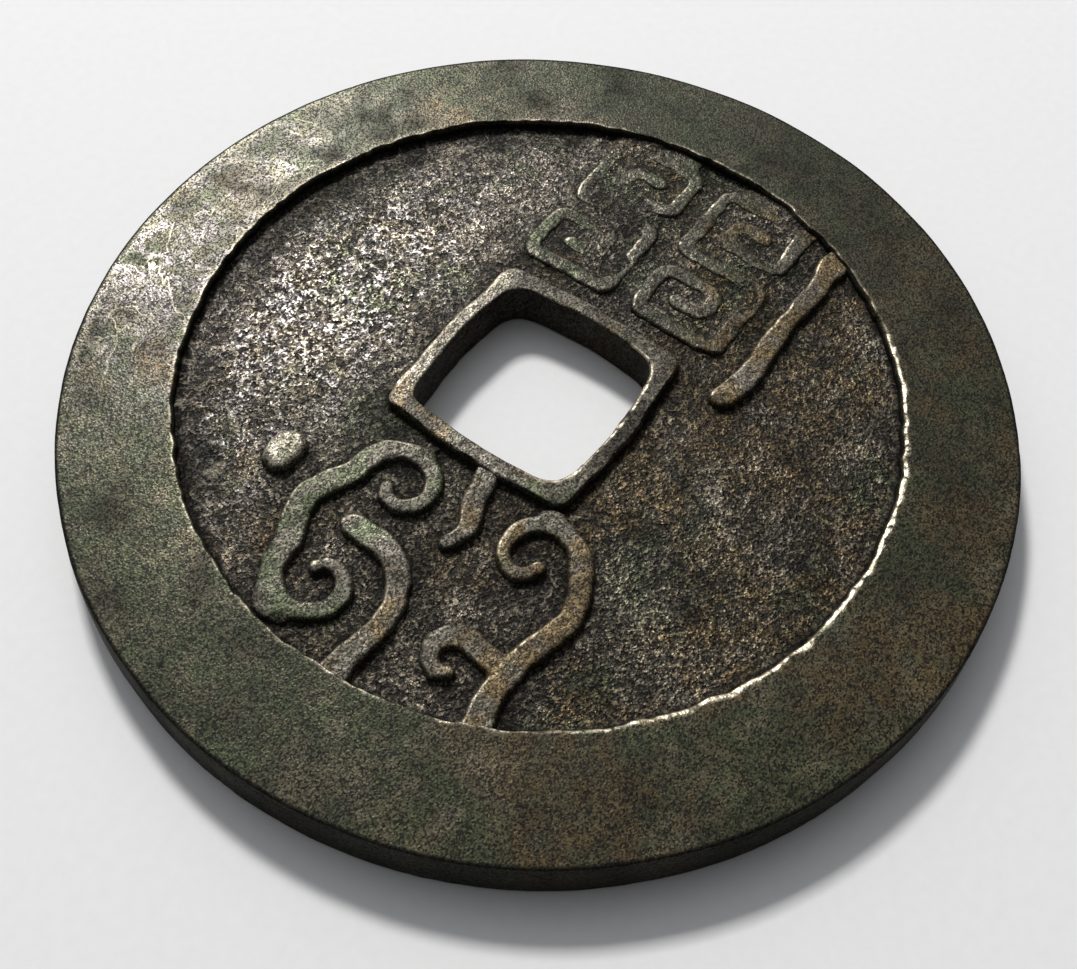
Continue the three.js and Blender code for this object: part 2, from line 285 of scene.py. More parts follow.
def ring_piece(node, points, measures, material):
    """A closed ring whose rows of points run up its inside, over its top and down its outside."""
    rows, stations = points.shape[:2]
    row, station = np.arange(rows)[:, None], np.arange(stations)[None, :]
    here, above = row * stations, ((row + 1) % rows) * stations
    beside = (station + 1) % stations
    faces = np.stack([here + station, above + station, above + beside, here + beside], -1)
    mesh = quad_mesh(node + "_casting", points.reshape(-1, 3), faces.reshape(-1, 4))
    finish_piece(mesh, measures, node, material)


# The broad rim. Patches of colour are (x, y, radius).

BROWN_PATCHES = (
    (14.5, 15.5, 3.4), (0.5, 22.8, 2.2), (-11.5, 17.5, 3.0), (-17.5, 11.5, 3.2), (20.5, -7.0, 1.5),
    (-22.0, -8.5, 2.5), (-2.6, -23.6, 1.6), (-17.0, -14.0, 1.5),
)
GREEN_PATCHES = (
    (8.5, 20.0, 4.5), (-14.0, 19.0, 1.8), (-19.5, 13.0, 1.6), (15.0, -15.5, 2.5), (-11.5, -18.5, 1.8),
)
DUSTY_PATCHES = ((-6.6, 21.4, 2.0), (-4.4, 23.2, 1.1), (3.6, 21.0, 1.0), (6.5, 22.0, 1.2))
PALE_PATCHES = ((-2.6, -23.6, 1.6),)


def worn_lit_arc(azimuth):
    """1 along the lower part of the rim, which faces the light, where its inner edge is worn bright, partly a
    painted highlight, and 0 elsewhere.
    """
    away = np.degrees(turned_from(azimuth, math.radians(WORN_ARC_MIDDLE)))
    return smoothstep(WORN_ARC_HALF, WORN_ARC_HALF - WORN_ARC_FADE, away)


def rim_section(inner, corner, out):
    """The rim's rows of points from its inner edge to its outer corner and back underneath, and
    each row's share of the way between the two."""
    rows, shares = [], []

    def add(share, away, z):
        away = np.broadcast_to(away, len(out))
        place = inner + (corner - inner) * share + out * away[:, None]
        rows.append(np.column_stack([place, np.full(len(out), z)]))
        shares.append(share)

    turn = quarter_turn()
    shifted = np.cos(angles(len(out)) - math.radians(MOULD_SHIFT_TOWARDS))
    foot_out = EDGE_SLANT + MOULD_SHIFT * shifted
    for z in np.linspace(FRONT_FIELD - BURIED, TOP - SHOULDER, 8)[:-1]:
        add(0, -WALL_FLARE * (TOP - z) / RELIEF, z)
    for away, drop in turn:
        add(0, away, TOP - drop)
    for share in (0.01, 0.019, *np.linspace(0.028, 1, 43)[:-1]):
        add(share, SHOULDER - (SHOULDER + OUTER_SHOULDER) * share, TOP)
    for away, drop in reversed(quarter_turn(OUTER_SHOULDER)):
        add(1, -away, TOP - drop)
    middle = (TOP + FOOT_SHOULDER - OUTER_SHOULDER) / 2
    half_wall = (TOP - FOOT_SHOULDER - OUTER_SHOULDER) / 2
    for across in np.linspace(1, -1, 13)[1:-1]:
        slant = foot_out * (1 - across) / 2
        add(1, slant + EDGE_BULGE * (1 - across**4), middle + across * half_wall)
    for away, drop in quarter_turn(FOOT_SHOULDER):
        add(1, foot_out - away, drop)
    for share in np.linspace(1, 0, 12)[1:-1]:
        add(share, SHOULDER + (foot_out - SHOULDER - FOOT_SHOULDER) * share, 0)
    for away, drop in reversed(turn):
        add(0, away, drop)
    for z in np.linspace(SHOULDER, BACK_FIELD + BURIED, 5)[1:]:
        add(0, -WALL_FLARE * z / BACK_FIELD, z)
    return np.stack(rows), np.array(shares)[:, None] * np.ones(len(out))


def outer_rim(material):
    angle = angles(RIM_STATIONS)
    out = directions(angle)
    around = out * FIELD_RADIUS
    ragged = RAGGED_COARSE * layered_noise(*around.T, 1.6, 11)
    ragged += RAGGED_FINE * noise(*around.T, 0.45, 15)
    notch = -NOTCH_DEPTH * smoothstep(0.66, 0.85, noise(*around.T, 3.1, 16))
    inner = FIELD_CENTRE + out * (FIELD_RADIUS + ragged + notch)[:, None]
    dents = np.minimum(DENT_DEPTH * layered_noise(*(out * COIN_RADIUS).T, 4, 12), DENT_LIMIT)
    shifted = OFF_CENTRE * np.cos(angle - math.radians(OFF_CENTRE_TOWARDS))
    corner = out * (COIN_RADIUS - EDGE_BULGE + shifted + dents)[:, None]
    points, share = rim_section(inner, corner, out)

    # x, y and z are views of the points, and move with them.
    x, y, z = points[..., 0], points[..., 1], points[..., 2]
    azimuth = np.arctan2(y, x)
    front, back, wall = front_back_wall(z)
    edge = share >= 1
    uneven = TOP_SWELL * (layered_noise(x, y, 7, 17) - 1) + TOP_RIPPLE * layered_noise(x, y, 0.9, 18, 2)
    pits = smoothstep(0.8, 0.95, noise(x, y, 0.6, 13))
    points[..., 2] += front * (uneven - PIT_DEPTH * pits) - back * uneven
    file_marks = np.abs(layered_noise(azimuth * 20, z * 2, 0.9, 19))
    points[..., :2] += (-FILE_MARK_DEPTH * wall * edge * file_marks)[..., None] * out

    # The inner edge is worn to a bright chamfer along the lower part, which faces the light, so its bare
    # metal there is partly a painted highlight; it is rubbed elsewhere.
    from_inner = np.hypot(x - FIELD_CENTRE[0], y - FIELD_CENTRE[1]) - np.hypot(*(inner - FIELD_CENTRE).T)
    chamfered = worn_lit_arc(azimuth) * (1 + 0.5 * noise(x, y, 0.5, 25))
    on_chamfer = np.clip(1 - from_inner / (CHAMFER_WIDTH * chamfered + 0.01), 0, 1) * (z > TOP - 0.2)
    points[..., 2] -= CHAMFER_DROP * on_chamfer * ~edge
    inner_edge = smoothstep(0.0, 0.35, on_chamfer) * ~edge * (z > TOP - 0.12)
    breaks = smoothstep(-0.65, -0.35, layered_noise(x, y, 1.2, 26))
    rubbed = bell(from_inner - 0.06, 0.09) * front * smoothstep(-0.5, 0.5, layered_noise(x, y, 0.9, 27))

    # The rim is dusty at its top, with a painted highlight and painted sheen there; it is darker on its right
    # and on its walls, which is painted shade.
    from_outer = (COIN_RADIUS - FIELD_RADIUS) * (1 - share)
    # A painted highlight along the outer edge at the top, and a paler worn band along the inner edge there.
    highlight_and_wear_band = 2 * wrapped_bell(azimuth, 97, 32) * bell(from_outer - 0.25, 0.25)
    highlight_and_wear_band += wrapped_bell(azimuth, 115, 50) * bell(from_inner - 0.15, 0.25)
    mottle = 1 + 0.4 * layered_noise(x, y, 2.0, 24) + 0.7 * front * highlight_and_wear_band
    # Darker on the right: painted shade.
    mottle *= 0.93 - 0.3 * wrapped_bell(azimuth, 335, 36)
    dusty = patches(x, y, DUSTY_PATCHES)
    mottle += 0.8 * dusty + 0.5 * patches(x, y, PALE_PATCHES)
    # The inner wall darkens towards its foot, and the outer edge and wall are dark: painted shade.
    foot = smoothstep(TOP - 0.05, FRONT_FIELD + 0.2, z) * (z > TOP / 2) * ~edge
    shade = np.where(edge, 0.18 + 0.1 * wall, 1 - 0.95 * foot) * (1 - 0.3 * front * pits)
    green_spots = smoothstep(0.1, 0.45, layered_noise(x, y, 3.2, 21) + 0.525 * np.cos(azimuth) ** 2)
    brown_half = smoothstep(2, -14, y) * (0.8 + 0.6 * layered_noise(x, y, 3, 22))
    measures = {
        "pale": shade * np.maximum(mottle, 0.3),
        "bare": np.maximum(inner_edge * worn_lit_arc(azimuth) * breaks, 0.65 * rubbed),
        "coarse": 0.12 * front,
        # Besides the dusty patches, a band of painted sheen at the rim's top.
        "dust_and_sheen": front * (wrapped_bell(azimuth, 103, 24) + dusty) * ~edge,
        "verdigris": np.maximum(patches(x, y, GREEN_PATCHES), green_spots) * (1 - 0.8 * dusty),
        "rust": np.maximum(patches(x, y, BROWN_PATCHES), brown_half) * (1 - 0.7 * green_spots),
    }
    ring_piece("outer_rim", points, measures, material)


# The narrow rim round the hole.

def hole_rim_section(inner, outer, out):
    """The rows of points up through the hole, over the front, down outside and back below."""
    rows = []

    def add(share, away, z):
        place = HOLE_CENTRE + out * (inner + (outer - inner) * share + away)[:, None]
        rows.append(np.column_stack([place, np.full(len(out), z)]))

    turn = quarter_turn()
    for z in np.linspace(SHOULDER, TOP - SHOULDER, 22)[1:-1]:
        add(0, -HOLE_WAIST * (1 - abs(2 * z / TOP - 1)), z)
    for away, drop in turn:
        add(0, away, TOP - drop)
    for share in np.linspace(0, 1, 10)[1:-1]:
        add(share, SHOULDER * (1 - 2 * share), TOP)
    for away, drop in reversed(turn):
        add(1, -away, TOP - drop)
    for z in np.linspace(TOP - SHOULDER, FRONT_FIELD - BURIED, 8)[1:]:
        add(1, WALL_FLARE * (TOP - z) / RELIEF, z)
    for z in np.linspace(BACK_FIELD + BURIED, SHOULDER, 6)[:-1]:
        add(1, WALL_FLARE * z / BACK_FIELD, z)
    for away, drop in turn:
        add(1, -away, drop)
    for share in np.linspace(1, 0, 8)[1:-1]:
        add(share, SHOULDER * (1 - 2 * share), 0)
    for away, drop in reversed(turn):
        add(0, away, drop)
    return np.stack(rows)


def hole_rim(material):
    angle = angles(HOLE_STATIONS)
    out = directions(angle)
    around = out * HOLE_RIM_HALF
    hole_half = HOLE_HALF + HOLE_WANDER * layered_noise(*around.T, 2.4, 31)
    rim_half = HOLE_RIM_HALF + HOLE_RIM_WANDER * layered_noise(*around.T, 1.5, 35)
    crispness = HOLE_SQUARENESS + 4 * wrapped_bell(angle, 135, 30)
    inner = square_reach(angle, hole_half, crispness)
    outer = square_reach(angle, rim_half, HOLE_RIM_SQUARENESS)
    points = hole_rim_section(inner, outer, out)

    # x, y and z are views of the points, and move with them.
    x, y, z = points[..., 0], points[..., 1], points[..., 2]
    front, back, wall = front_back_wall(z)
    beyond = beyond_hole_rim(x, y)
    in_hole = smoothstep(-0.5, -0.7, beyond)
    rough = HOLE_WALL_ROUGHNESS * layered_noise(angle * HOLE_HALF + 0 * z, z * 1.3, 0.7, 36)
    points[..., :2] += (wall * rough)[..., None] * out
    uneven = HOLE_RIM_SWELL * (layered_noise(x, y, 1.4, 37) - 0.9)
    points[..., 2] += (front - back) * uneven

    # Worn edges: the hole's own below it, and the rim's outer one above it, both on sides facing the light,
    # so their bare metal is partly a painted highlight.
    from_hole = np.hypot(x - HOLE_CENTRE[0], y - HOLE_CENTRE[1]) - inner
    below_hole = smoothstep(-2.6, -3.4, y - HOLE_CENTRE[1])
    above_hole = smoothstep(HOLE_HALF, HOLE_HALF + 0.4, y - HOLE_CENTRE[1])
    width = LIP_WIDTH * (1 + 0.4 * noise(x, y, 0.5, 40))
    lower_lip = below_hole * np.clip(1 - from_hole / width, 0, 1)
    upper_lip = above_hole * np.clip(1 + beyond / width, 0, 1)
    lip = np.maximum(lower_lip, upper_lip) * (z > TOP - LIP_DEPTH)
    points[..., 2] -= LIP_DROP * lip

    # Its top side is palest, a painted sheen, then its left, and its bottom side darker; the hole's wall and
    # the foot of the outer wall are dark, a painted shade.
    top_sheen_strip = smoothstep(HOLE_HALF - 0.6, HOLE_HALF, y - HOLE_CENTRE[1])
    left_strip = smoothstep(HOLE_CENTRE[0] - HOLE_HALF + 0.4, HOLE_CENTRE[0] - HOLE_HALF - 0.2, x)
    bottom_strip = smoothstep(HOLE_CENTRE[1] - HOLE_HALF + 0.4, HOLE_CENTRE[1] - HOLE_HALF - 0.2, y)
    face = 0.6 + 0.35 * top_sheen_strip + 0.15 * left_strip - 0.15 * bottom_strip
    face *= 1 + 0.35 * layered_noise(x, y, 1.6, 34)
    outside_foot = smoothstep(FRONT_FIELD + 0.45, FRONT_FIELD + 0.15, z) * (1 - in_hole)
    # Dark walls in the hole and at the outer foot: painted shade.
    wall_shade = np.where(in_hole > 0.5, 0.22, 0.7 - 0.5 * outside_foot)
    measures = {
        "pale": (front + back) * face + wall * wall_shade,
        "bare": smoothstep(0.0, 0.35, lip) * smoothstep(-0.7, -0.2, layered_noise(x, y, 0.9, 41)),
        "coarse": 0.2,
        "dust_and_sheen": 0,
        "verdigris": smoothstep(0.1, 0.8, layered_noise(x, y, 3, 38)),
        "rust": smoothstep(0.0, 0.8, layered_noise(x, y, 2.5, 39)),
    }
    ring_piece("hole_rim", points, measures, material)


# The raised strokes.

def blurred(values, spread):
    reach = int(3 * spread / CELL) + 1
    kernel = bell(np.arange(-reach, reach + 1) * CELL, spread * math.sqrt(2))
    kernel /= kernel.sum()

    def soften(line):
        return np.convolve(line, kernel, mode="same")

    return np.apply_along_axis(soften, 1, np.apply_along_axis(soften, 0, values))


def on_lattice(values, x, y):
    """Values of a whole lattice at any points, blended between its four nearest."""
    across = np.clip((x - FIELD_CENTRE[0]) / CELL + LATTICE_HALF, 0, LATTICE_SIDE - 2)
    along = np.clip((y - FIELD_CENTRE[1]) / CELL + LATTICE_HALF, 0, LATTICE_SIDE - 2)
    i, j = across.astype(int), along.astype(int)
    u, v = across - i, along - j
    low = values[i, j] * (1 - u) + values[i + 1, j] * u
    high = values[i, j + 1] * (1 - u) + values[i + 1, j + 1] * u
    return low * (1 - v) + high * v


def heights_over_field(node, x, y):
    """How high the node's solid stands over the field at any points, found by casting rays."""
    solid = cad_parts[node].data
    corners = [tuple(v.co / MM) for v in solid.vertices]
    tree = BVHTree.FromPolygons(corners, [tuple(p.vertices) for p in solid.polygons])
    above, down = TOP + 1, (0, 0, -1)
    heights = np.zeros(x.shape)
    for place, (at_x, at_y) in enumerate(zip(x.ravel(), y.ravel())):
        hit = tree.ray_cast((at_x, at_y, above), down)[0]
        if hit:
            heights.flat[place] = hit[2] - FRONT_FIELD
    return heights


def stroke_shares(node, seed):
    """The node's height over the field, from 0 to 1, with wandering edges, on the part of the
    lattice round it. Near a rim the heights are drawn out, so that a cut end runs into it."""
    low, high = box_mm(node)
    first = np.floor((low[:2] - MARGIN - FIELD_CENTRE) / CELL).astype(int) + LATTICE_HALF
    last = np.ceil((high[:2] + MARGIN - FIELD_CENTRE) / CELL).astype(int) + LATTICE_HALF
    first, last = np.clip(first, 0, LATTICE_SIDE - 1), np.clip(last, 0, LATTICE_SIDE - 1)
    i, j = np.mgrid[first[0]:last[0] + 1, first[1]:last[1] + 1]
    x = FIELD_CENTRE[0] + (i - LATTICE_HALF) * CELL
    y = FIELD_CENTRE[1] + (j - LATTICE_HALF) * CELL

    from_x = x + STROKE_WANDER * layered_noise(x, y, 1.2, seed)
    from_x += STROKE_JITTER * noise(x, y, 0.35, seed + 4)
    from_y = y + STROKE_WANDER * layered_noise(x, y, 1.2, seed + 8)
    from_y += STROKE_JITTER * noise(x, y, 0.35, seed + 12)
    to_middle = np.stack([x, y], -1) - FIELD_CENTRE
    distance = np.hypot(to_middle[..., 0], to_middle[..., 1])
    pull = RIM_PULL * smoothstep(FIELD_RADIUS - 1.1, FIELD_RADIUS + 0.1, distance)
    from_x = from_x - pull * to_middle[..., 0] / distance
    from_y = from_y - pull * to_middle[..., 1] / distance
    push = HOLE_RIM_PUSH * smoothstep(1.0, 0.0, beyond_hole_rim(x, y))
    away = np.stack([x, y], -1) - HOLE_CENTRE
    away /= np.hypot(away[..., 0], away[..., 1])[..., None]
    from_x, from_y = from_x + push * away[..., 0], from_y + push * away[..., 1]
    return first, x, y, heights_over_field(node, from_x, from_y) / (high[2] - FRONT_FIELD)


def sheet_faces(kept, numbers):
    """Quads over the kept cells of a lattice of numbered points, seen from above."""
    i, j = np.nonzero(kept)
    corners = [numbers[i, j], numbers[i + 1, j], numbers[i + 1, j + 1], numbers[i, j + 1]]
    return np.stack(corners, -1)


def wall_faces(kept, numbers, depth):
    """Quads down the sides of the kept cells that have no kept neighbour."""
    padded = np.pad(kept, 1)
    sides = (
        ((0, -1), (0, 0), (1, 0)), ((1, 0), (1, 0), (1, 1)),
        ((0, 1), (1, 1), (0, 1)), ((-1, 0), (0, 1), (0, 0)),
    )
    walls = []
    for (step_i, step_j), start, end in sides:
        neighbour = padded[1 + step_i:1 + step_i + kept.shape[0], 1 + step_j:1 + step_j + kept.shape[1]]
        i, j = np.nonzero(kept & ~neighbour)
        a = numbers[i + start[0], j + start[1]]
        b = numbers[i + end[0], j + end[1]]
        walls.append(np.stack([b, a, a + depth, b + depth], -1))
    return np.concatenate(walls)


def stroke_mesh(name, x, y, z, covered):
    """A closed mesh over the covered points of a lattice, with a flat bottom, and a mask of the
    points that it uses. Its upper points come first, then the lower ones in the same order."""
    kept = covered[:-1, :-1] | covered[1:, :-1] | covered[:-1, 1:] | covered[1:, 1:]
    used = np.zeros(x.shape, bool)
    for step_i in (0, 1):
        for step_j in (0, 1):
            used[step_i:step_i + kept.shape[0], step_j:step_j + kept.shape[1]] |= kept
    numbers = np.cumsum(used).reshape(used.shape) - 1
    count = used.sum()
    upper = np.column_stack([x[used], y[used], z[used]])
    lower = upper.copy()
    lower[:, 2] = FRONT_FIELD - 2 * BURIED
    sheet = sheet_faces(kept, numbers)
    faces = np.concatenate([sheet, sheet[:, ::-1] + count, wall_faces(kept, numbers, count)])
    return quad_mesh(name, np.concatenate([upper, lower]), faces), used


def worn_lit_bevel(x, y, raw, solid, seed):
    """How far points lie on the worn edges of a stroke, here and there, only where they face the light; their
    bare metal is partly a painted highlight.
    """
    slope_x, slope_y = np.gradient(blurred(raw, 0.2))
    to_light = directions(np.radians(EDGE_LIGHT_TOWARDS))
    facing = -(slope_x * to_light[0] + slope_y * to_light[1]) / (np.hypot(slope_x, slope_y) + 1e-6)
    catches = smoothstep(-0.4, 0.2, layered_noise(x, y, 1.6, seed)) * smoothstep(0.2, 0.7, facing)
    return catches * np.clip((0.95 - blurred(solid, BEVEL_SOFTNESS)) / 0.2, 0, 1)


def stroke(node, seed, look, material):
    """A raised stroke whose look gives (paleness, share of its height lost, share of its surface
    that is stained) at any points. Returns its height, from 0 to 1, on the whole lattice."""
    first, x, y, raw = stroke_shares(node, seed)
    solid = (raw > 0.3).astype(float)
    inside = blurred(solid, STROKE_SOFTNESS)
    level = np.clip(blurred(raw, STROKE_SOFTNESS) / np.maximum(inside, 0.1), 0, 1)
    share = smoothstep(0.6, 0.97, inside) * level
    bevel = worn_lit_bevel(x, y, raw, solid, seed + 32)

    paleness, lost, stained = look(x, y)
    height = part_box(node)[1][2] / MM - FRONT_FIELD
    worn = 1 - 0.05 * (1 + layered_noise(x, y, 2.2, seed + 16)) - lost
    grit = GRIT_HEIGHT * layered_noise(x, y, 0.3, seed + 20, 2) * smoothstep(0.3, 0.8, share)
    z = FRONT_FIELD + height * share * worn + grit - BURIED * smoothstep(0.1, 0.0, share)
    z = np.minimum(z - BEVEL_DROP * bevel, TOP)
    mesh, used = stroke_mesh(node + "_casting", x, y, z, blurred(raw, 0.1) > 0.01)

    top_paleness = paleness * (1 + 0.25 * layered_noise(x, y, 1.5, seed + 36))
    maps = {
        # Darker down the walls to the foot: painted shade.
        "pale": STROKE_FOOT_SHADE + share * (top_paleness - STROKE_FOOT_SHADE),
        # Bare metal only on edges facing the light: partly a painted highlight.
        "bare": smoothstep(0.15, 0.45, bevel) * smoothstep(0.9, 0.99, share),
        "verdigris": stained * smoothstep(0.0, 0.7, layered_noise(x, y, 3, seed + 24) + 0.08 * (y + 1)),
        "rust": stained * smoothstep(0.1, 0.8, layered_noise(x, y, 2.5, seed + 28) + 0.12 * (-2 - y)),
    }
    measures = {name: np.tile(values[used], 2) for name, values in maps.items()}
    finish_piece(mesh, measures | {"coarse": 0.2, "dust_and_sheen": 0}, node, material)
    whole = np.zeros((LATTICE_SIDE, LATTICE_SIDE))
    whole[first[0]:first[0] + x.shape[0], first[1]:first[1] + x.shape[1]] = share
    return whole


def cloud_look(x, y):
    """A little paler above than below, a painted sheen."""
    return 0.7 + 0.08 * smoothstep(-6, 4, y), 0.28, 1


def star_look(x, y):
    """The palest mark, nearly free of stains."""
    return 2.0, 0, 0.25


def fret_look(x, y):
    """The fret is darker and its height is worn away in patches."""
    return 0.9, 0.3 + 0.25 * smoothstep(-0.3, 0.5, layered_noise(x, y, 4.5, 71, 2)), 1


# The sunken field.

FIELD_GREEN_PATCHES = ((-5, -10.5, 3.0), (-6.5, 6.0, 3.0), (3, 17.5, 2.0))
PALEST_PATCHES = ((-2.5, 12.9, 3.8),)


def field(all_strokes, fret_pad, material):
    out = directions(angles(FIELD_STATIONS))
    start = square_reach(angles(FIELD_STATIONS), HOLE_RIM_HALF - BURIED, HOLE_RIM_SQUARENESS)
    inner = HOLE_CENTRE + out * start[:, None]
    outer = FIELD_CENTRE + out * (FIELD_RADIUS + FIELD_OVERLAP)
    rows = [(FRONT_FIELD, share) for share in np.linspace(0, 1, FIELD_FRONT_ROWS)]
    rows += [(BACK_FIELD, share) for share in np.linspace(1, 0, FIELD_BACK_ROWS)]
    points = np.stack([
        np.column_stack([inner + (outer - inner) * share, np.full(FIELD_STATIONS, z)]) for z, share in rows
    ])
    x, y = points[..., 0], points[..., 1]
    is_front = np.arange(len(rows))[:, None] < FIELD_FRONT_ROWS

    # How near each point is to what stands on the field.
    to_rim = np.maximum(FIELD_RADIUS - np.hypot(x - FIELD_CENTRE[0], y - FIELD_CENTRE[1]), 0)
    to_hole_rim = np.maximum(beyond_hole_rim(x, y), 0)
    to_wall = np.minimum(to_rim, to_hole_rim)
    near_stroke = is_front * on_lattice(blurred(all_strokes, 0.16), x, y)
    around_stroke = is_front * on_lattice(blurred(all_strokes, 0.5), x, y)
    among_strokes = is_front * on_lattice(blurred(all_strokes, 1.1), x, y)
    pad = is_front * on_lattice(fret_pad, x, y)

    # Sand grain, coarsest above the hole, on a gently uneven ground.
    coarse_zone = bell(np.hypot((x + 2) / 10, (y - 12.5) / 4.6) ** 2, 1)
    large, medium, small = noise(x, y, 0.7, 51), noise(x, y, 0.4, 52), noise(x, y, 0.27, 53)
    sand = 0.35 * large + 0.4 * medium + 0.25 * small
    height = GROUND_SWELL * layered_noise(x, y, 5, 54, 2)
    height += (SAND_HEIGHT + COARSE_SAND_HEIGHT * coarse_zone) * (1 - 0.5 * pad) * sand
    height += WALL_FILLET * bell(to_wall, 0.2) + STROKE_FILLET * near_stroke + FRET_PAD_HEIGHT * pad
    points[..., 2] += np.where(is_front, height, -0.8 * height)

    # Over its upper half the field is paler, a painted sheen, and above the hole paler still, partly pale
    # coarse grain and dust and partly painted sheen. It is darker along its walls and round the strokes, a
    # painted shade, and darker in bands below the upper rim and round the hole's rim.
    upper_edge = smoothstep(3.4, 1.2, to_rim) * smoothstep(2, 12, y)
    by_hole = smoothstep(3.2, 0.8, to_hole_rim)
    # Darker at the walls' foot, a painted shade, and in wider bands below the upper rim and round the hole's
    # rim.
    corners = 0.85 * bell(to_wall, 0.3) + 0.6 * upper_edge + 0.3 * by_hole
    # Painted shade round the strokes, and a darker ground among them.
    shaded = 0.42 * smoothstep(0.0, 0.5, around_stroke) + 0.18 * smoothstep(0.05, 0.35, among_strokes)
    corners = np.maximum(corners, shaded * (1 - 0.8 * pad))
    mottle = 0.85 + 0.4 * layered_noise(x, y, 1.7, 57) + 0.15 * pad
    sheen_upper_half = smoothstep(4, 9, y)
    # Paler over the upper half, a painted sheen; above the hole, partly pale grain and dust and partly
    # painted sheen.
    shade = (1 + 0.5 * sheen_upper_half + 1.5 * coarse_zone + 3.0 * patches(x, y, PALEST_PATCHES)) * mottle
    shade *= np.clip(1 - corners, 0.1, 1)
    green_spots = smoothstep(0.1, 0.8, layered_noise(x, y, 3, 59) + 0.4 * pad)
    measures = {
        "pale": np.maximum(shade, 0.08),
        "bare": 0.15 * smoothstep(0.2, 0.55, sand) * coarse_zone,
        "coarse": is_front * np.clip(0.65 + 0.35 * np.maximum(coarse_zone, among_strokes), 0, 1),
        # Painted sheen over the upper half, and pale dust above the hole.
        "dust_and_sheen": 0.5 * sheen_upper_half + coarse_zone * smoothstep(-0.5, 0.3, layered_noise(x, y, 2.5, 58)),
        "verdigris": np.maximum(patches(x, y, FIELD_GREEN_PATCHES), green_spots),
        "rust": smoothstep(-0.2, 0.6, layered_noise(x, y, 4, 56) + 0.04 * (-4 - y)),
    }
    ring_piece("field", points, measures, material)


# Materials.

def new_material(name):
    """A material, its node tree, its shader and the place of each point on the object."""
    material = bpy.data.materials.new(name)
    material.use_nodes = True
    tree = material.node_tree
    shader = next(node for node in tree.nodes if node.type == "BSDF_PRINCIPLED")
    return material, tree, shader, add_node(tree, "ShaderNodeTexCoord").outputs["Object"]


def add_node(tree, kind, inputs=None, **settings):
    made = tree.nodes.new(kind)
    for name, value in settings.items():
        setattr(made, name, value)
    for name, value in (inputs or {}).items():
        if isinstance(value, bpy.types.NodeSocket):
            tree.links.new(value, made.inputs[name])
        else:
            made.inputs[name].default_value = value
    return made


def opaque(colour):
    return (*colour, 1.0)


def lightened(colour, factor):
    return tuple(factor * channel for channel in colour)


def mixed(tree, share, first, second):
    """Colour first turning to second as share goes from 0 to 1."""
    ready = [c if isinstance(c, bpy.types.NodeSocket) else opaque(c) for c in (first, second)]
    inputs = {0: share, 6: ready[0], 7: ready[1]}
    return add_node(tree, "ShaderNodeMix", inputs, data_type="RGBA").outputs[2]


def mixed_level(tree, share, first, second):
    """Number first turning to second as share goes from 0 to 1."""
    return add_node(tree, "ShaderNodeMix", {0: share, 2: first, 3: second}).outputs[0]


def scaled(tree, colour, factor):
    """A colour times a number."""
    inputs = {0: colour, "Scale": factor}
    return add_node(tree, "ShaderNodeVectorMath", inputs, operation="SCALE").outputs[0]


def remapped(tree, value, from_low, from_high, to_low=0.0, to_high=1.0):
    inputs = {"Value": value, "From Min": from_low, "From Max": from_high}
    inputs |= {"To Min": to_low, "To Max": to_high}
    return add_node(tree, "ShaderNodeMapRange", inputs).outputs["Result"]


def combined(tree, operation, first, second):
    return add_node(tree, "ShaderNodeMath", {0: first, 1: second}, operation=operation).outputs[0]


def times(tree, first, second):
    return combined(tree, "MULTIPLY", first, second)


def plus(tree, first, second):
    return combined(tree, "ADD", first, second)


def from_middle(tree, value):
    """How far a level lies from 0.5."""
    return combined(tree, "ABSOLUTE", combined(tree, "SUBTRACT", value, 0.5), 0.0)


def measure(tree, name):
    return add_node(tree, "ShaderNodeAttribute", attribute_name=name).outputs["Fac"]


def texture_noise(tree, place, size, detail=4.0, distortion=0.0, roughness=0.5):
    """Noise texture whose features are about size millimetres wide."""
    inputs = {"Vector": place, "Scale": 1 / (size * MM), "Detail": detail}
    inputs |= {"Distortion": distortion, "Roughness": roughness}
    return add_node(tree, "ShaderNodeTexNoise", inputs).outputs["Fac"]


def crystals(tree, place, size):
    """A random level from 0 to 1 for each of many close-packed grains."""
    cells = add_node(tree, "ShaderNodeTexVoronoi", {"Vector": place, "Scale": 1 / (size * MM)})
    return add_node(tree, "ShaderNodeSeparateColor", {0: cells.outputs["Color"]}).outputs["Red"]


def colour_ramp(tree, value, stops):
    made = add_node(tree, "ShaderNodeValToRGB", {"Fac": value})
    elements = made.color_ramp.elements
    while len(elements) < len(stops):
        elements.new(0.5)
    for element, (position, colour) in zip(elements, stops):
        element.position = position
        element.color = opaque(colour)
    return made.outputs["Color"]


VERDIGRIS = (0.026, 0.033, 0.016)
BROWN = (0.056, 0.039, 0.017)
DUST_AND_SHEEN = (0.097, 0.088, 0.083)  # pale dusty pink where the patina is rubbed thin, and painted sheen
# Bare metal; on worn edges facing the light it is partly a painted highlight.
BARE_METAL = (0.42, 0.37, 0.28)
STAIN_STRENGTH = 0.85
VEIN_STRENGTH = 0.45
PATINA_METALLIC, BARE_METALLIC = 0.4, 0.9
PATINA_ROUGHNESS, BARE_ROUGHNESS = (0.33, 0.44), 0.36
SPECULAR_LEVEL = 0.27
SPECULAR_TINT = (1.0, 0.96, 0.91)


